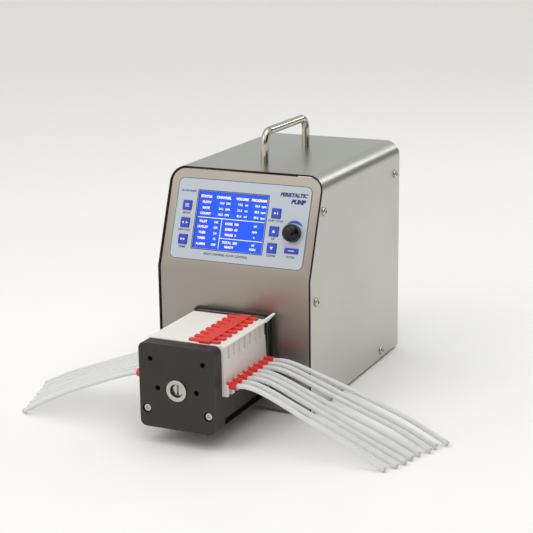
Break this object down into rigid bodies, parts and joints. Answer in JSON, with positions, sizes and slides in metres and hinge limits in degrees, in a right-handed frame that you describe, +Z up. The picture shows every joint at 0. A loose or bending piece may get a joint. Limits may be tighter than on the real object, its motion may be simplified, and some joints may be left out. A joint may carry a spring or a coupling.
{
  "type": "peristaltic pump",
  "caption": "Bench peristaltic pump: steel cabinet with a sloping keypad and display, a carry handle, and a multichannel cassette head with tubes out to both sides.",
  "frame": {"origin": "on the floor under the feet, at the centre of the box round everything but the free pump tubes", "axes": "+X to the right seen from the front, +Y to the back, +Z up"},
  "size_m": [0.4262, 0.3602, 0.2595],
  "materials": {
    "sheet_steel": "fine satin brushed",
    "polished_steel": "polished",
    "screw_steel": "bright",
    "black_anodised": "satin black anodised",
    "bare_aluminium": "machined",
    "white_plastic": "moulded satin",
    "red_plastic": "moulded",
    "tube_silicone": "translucent smooth",
    "overlay_film": "fine matte film",
    "display": "glossy, lit",
    "key_blue": "satin",
    "black_plastic": "gloss",
    "black_rubber": "matte",
    "circuit_board": "solder mask",
    "motor_black": "satin paint",
    "supply_case": "sheet"
  },
  "bodies": {
    "cabinet": {"base_tray": "sheet_steel", "wrap_cover": "sheet_steel", "front_panel": "sheet_steel", "rear_panel": "sheet_steel", "rubber_feet": "black_rubber", "cover_screws": "screw_steel", "carry_handle": "polished_steel", "keypad_overlay": "overlay_film", "lcd_module": "display", "control_board": "circuit_board", "drive_motor": "motor_black", "front_end_plate": "black_anodised", "rear_end_plate": "black_anodised", "spacer_frame": "bare_aluminium", "mounting_flange": "black_anodised", "base_rail": "black_anodised", "head_screws": "screw_steel", "shaft_bearings": "polished_steel", "power_entry_module": "black_plastic", "signal_connector": "screw_steel", "power_supply": "supply_case", "tube_collars": "red_plastic", "tube_loops": "tube_silicone", "pump_tube_1": "tube_silicone", "pump_tube_2": "tube_silicone", "pump_tube_3": "tube_silicone", "pump_tube_4": "tube_silicone", "pump_tube_5": "tube_silicone", "pump_tube_6": "tube_silicone", "pump_tube_7": "tube_silicone", "pump_tube_8": "tube_silicone"},
    "rotor": {"drive_shaft": "polished_steel", "rotor_carrier": "bare_aluminium", "rollers": "polished_steel"},
    "dial": {"control_knob": "black_plastic", "encoder_shaft": "screw_steel"},
    "rocker": {"power_rocker": "black_plastic"},
    "mode_key_cap": {"mode_key": "key_blue"},
    "direction_key_cap": {"direction_key": "key_blue"},
    "prime_key_cap": {"prime_key": "key_blue"},
    "start_key_cap": {"start_key": "key_blue"},
    "up_key_cap": {"up_key": "key_blue"},
    "down_key_cap": {"down_key": "key_blue"},
    "enter_key_cap": {"enter_key": "key_blue"},
    "cassette_body_1": {"cassette_1": "white_plastic"},
    "adjuster_body_1": {"adjuster_1": "red_plastic"},
    "cassette_body_2": {"cassette_2": "white_plastic"},
    "adjuster_body_2": {"adjuster_2": "red_plastic"},
    "cassette_body_3": {"cassette_3": "white_plastic"},
    "adjuster_body_3": {"adjuster_3": "red_plastic"},
    "cassette_body_4": {"cassette_4": "white_plastic"},
    "adjuster_body_4": {"adjuster_4": "red_plastic"},
    "cassette_body_5": {"cassette_5": "white_plastic"},
    "adjuster_body_5": {"adjuster_5": "red_plastic"},
    "cassette_body_6": {"cassette_6": "white_plastic"},
    "adjuster_body_6": {"adjuster_6": "red_plastic"},
    "cassette_body_7": {"cassette_7": "white_plastic"},
    "adjuster_body_7": {"adjuster_7": "red_plastic"},
    "cassette_body_8": {"cassette_8": "white_plastic"},
    "adjuster_body_8": {"adjuster_8": "red_plastic"}
  },
  "joints": [
    {"name": "rotor_spin", "type": "hinge", "parent": "cabinet", "child": "rotor", "pos_m": [0, -0.1223, 0.0538], "axis": [0, 1, 0], "continuous": true},
    {"name": "dial_turn", "type": "hinge", "parent": "cabinet", "child": "dial", "pos_m": [0.0556, -0.05483, 0.1757], "axis": [0, -0.9375, 0.3481], "continuous": true},
    {"name": "power_rocker_tilt", "type": "hinge", "parent": "cabinet", "child": "rocker", "pos_m": [-0.042, 0.1731, 0.077], "axis": [1, 0, 0], "range_deg": [0, 16]},
    {"name": "mode_key_press", "type": "slide", "parent": "cabinet", "child": "mode_key_cap", "axis": [0, 0.9375, -0.3481], "range_m": [0, 0.0004], "stiffness_N_per_m": 1500},
    {"name": "direction_key_press", "type": "slide", "parent": "cabinet", "child": "direction_key_cap", "axis": [0, 0.9375, -0.3481], "range_m": [0, 0.0004], "stiffness_N_per_m": 1500},
    {"name": "prime_key_press", "type": "slide", "parent": "cabinet", "child": "prime_key_cap", "axis": [0, 0.9375, -0.3481], "range_m": [0, 0.0004], "stiffness_N_per_m": 1500},
    {"name": "start_key_press", "type": "slide", "parent": "cabinet", "child": "start_key_cap", "axis": [0, 0.9375, -0.3481], "range_m": [0, 0.0004], "stiffness_N_per_m": 1500},
    {"name": "up_key_press", "type": "slide", "parent": "cabinet", "child": "up_key_cap", "axis": [0, 0.9375, -0.3481], "range_m": [0, 0.0004], "stiffness_N_per_m": 1500},
    {"name": "down_key_press", "type": "slide", "parent": "cabinet", "child": "down_key_cap", "axis": [0, 0.9375, -0.3481], "range_m": [0, 0.0004], "stiffness_N_per_m": 1500},
    {"name": "enter_key_press", "type": "slide", "parent": "cabinet", "child": "enter_key_cap", "axis": [0, 0.9375, -0.3481], "range_m": [0, 0.0004], "stiffness_N_per_m": 1500},
    {"name": "cassette_1_lift", "type": "slide", "parent": "cabinet", "child": "cassette_body_1", "axis": [0, 0, 1], "range_m": [0, 0.05]},
    {"name": "adjuster_1_slide", "type": "slide", "parent": "cassette_body_1", "child": "adjuster_body_1", "axis": [1, 0, 0], "range_m": [-0.003, 0.003]},
    {"name": "cassette_2_lift", "type": "slide", "parent": "cabinet", "child": "cassette_body_2", "axis": [0, 0, 1], "range_m": [0, 0.05]},
    {"name": "adjuster_2_slide", "type": "slide", "parent": "cassette_body_2", "child": "adjuster_body_2", "axis": [1, 0, 0], "range_m": [-0.003, 0.003]},
    {"name": "cassette_3_lift", "type": "slide", "parent": "cabinet", "child": "cassette_body_3", "axis": [0, 0, 1], "range_m": [0, 0.05]},
    {"name": "adjuster_3_slide", "type": "slide", "parent": "cassette_body_3", "child": "adjuster_body_3", "axis": [1, 0, 0], "range_m": [-0.003, 0.003]},
    {"name": "cassette_4_lift", "type": "slide", "parent": "cabinet", "child": "cassette_body_4", "axis": [0, 0, 1], "range_m": [0, 0.05]},
    {"name": "adjuster_4_slide", "type": "slide", "parent": "cassette_body_4", "child": "adjuster_body_4", "axis": [1, 0, 0], "range_m": [-0.003, 0.003]},
    {"name": "cassette_5_lift", "type": "slide", "parent": "cabinet", "child": "cassette_body_5", "axis": [0, 0, 1], "range_m": [0, 0.05]},
    {"name": "adjuster_5_slide", "type": "slide", "parent": "cassette_body_5", "child": "adjuster_body_5", "axis": [1, 0, 0], "range_m": [-0.003, 0.003]},
    {"name": "cassette_6_lift", "type": "slide", "parent": "cabinet", "child": "cassette_body_6", "axis": [0, 0, 1], "range_m": [0, 0.05]},
    {"name": "adjuster_6_slide", "type": "slide", "parent": "cassette_body_6", "child": "adjuster_body_6", "axis": [1, 0, 0], "range_m": [-0.003, 0.003]},
    {"name": "cassette_7_lift", "type": "slide", "parent": "cabinet", "child": "cassette_body_7", "axis": [0, 0, 1], "range_m": [0, 0.05]},
    {"name": "adjuster_7_slide", "type": "slide", "parent": "cassette_body_7", "child": "adjuster_body_7", "axis": [1, 0, 0], "range_m": [-0.003, 0.003]},
    {"name": "cassette_8_lift", "type": "slide", "parent": "cabinet", "child": "cassette_body_8", "axis": [0, 0, 1], "range_m": [0, 0.05]},
    {"name": "adjuster_8_slide", "type": "slide", "parent": "cassette_body_8", "child": "adjuster_body_8", "axis": [1, 0, 0], "range_m": [-0.003, 0.003]}
  ]
}
